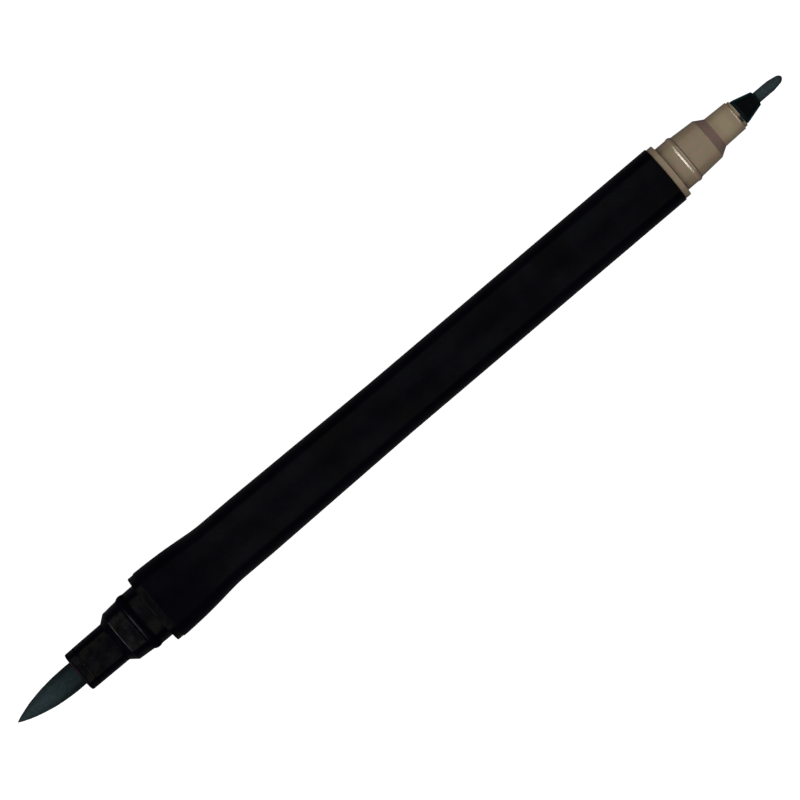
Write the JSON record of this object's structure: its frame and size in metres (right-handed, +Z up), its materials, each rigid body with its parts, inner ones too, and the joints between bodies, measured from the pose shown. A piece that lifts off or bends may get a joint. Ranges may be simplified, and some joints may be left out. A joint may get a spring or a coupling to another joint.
{
  "type": "double-ended felt tip marker",
  "caption": "Double-ended felt tip marker with a fine bullet nib in a taupe collar, a flexible brush nib in a black collar, a black barrel and two push-on caps",
  "frame": {"origin": "on the pen's axis, in the middle of the barrel's straight grip stretch", "axes": "+X along the pen towards the fine nib, -X towards the brush nib, +Z up, the pen lying on a table at z = -6.25 mm"},
  "size_m": [0.2494, 0.0136, 0.0126],
  "materials": {
    "barrel_black": "smooth moulded black plastic, satin gloss",
    "collar_taupe": "satin taupe moulded plastic",
    "holder_black": "smoky black-teal plastic, slightly translucent, ink stained",
    "nib_felt": "dense slate felt",
    "collar_black": "polished black moulded plastic",
    "sleeve_black": "matt black plastic",
    "brush_felt": "soft slate felt brush",
    "reservoir_fibre": "ink-soaked fibre rod",
    "film_clear": "thin clear film",
    "cap_black": "smooth black moulded plastic",
    "liner_natural": "natural waxy plastic",
    "plug_slate": "satin slate plastic in the ink's colour"
  },
  "bodies": {
    "pen": {"barrel": "barrel_black", "fine_collar": "collar_taupe", "fine_nib_holder": "holder_black", "fine_nib": "nib_felt", "brush_collar": "collar_black", "brush_nib_sleeve": "sleeve_black", "brush_nib": "brush_felt", "ink_reservoir": "reservoir_fibre", "reservoir_film": "film_clear"},
    "fine_cap": {"fine_cap_shell": "cap_black", "fine_cap_liner": "liner_natural", "fine_cap_plug": "plug_slate"},
    "brush_cap": {"brush_cap_shell": "cap_black", "brush_cap_liner": "liner_natural", "brush_cap_plug": "plug_slate"}
  },
  "joints": [
    {"name": "fine_cap_slide", "type": "slide", "parent": "pen", "child": "fine_cap", "axis": [-1, 0, 0], "range_m": [0, 0.04]},
    {"name": "brush_cap_slide", "type": "slide", "parent": "pen", "child": "brush_cap", "axis": [1, 0, 0], "range_m": [0, 0.038]}
  ]
}
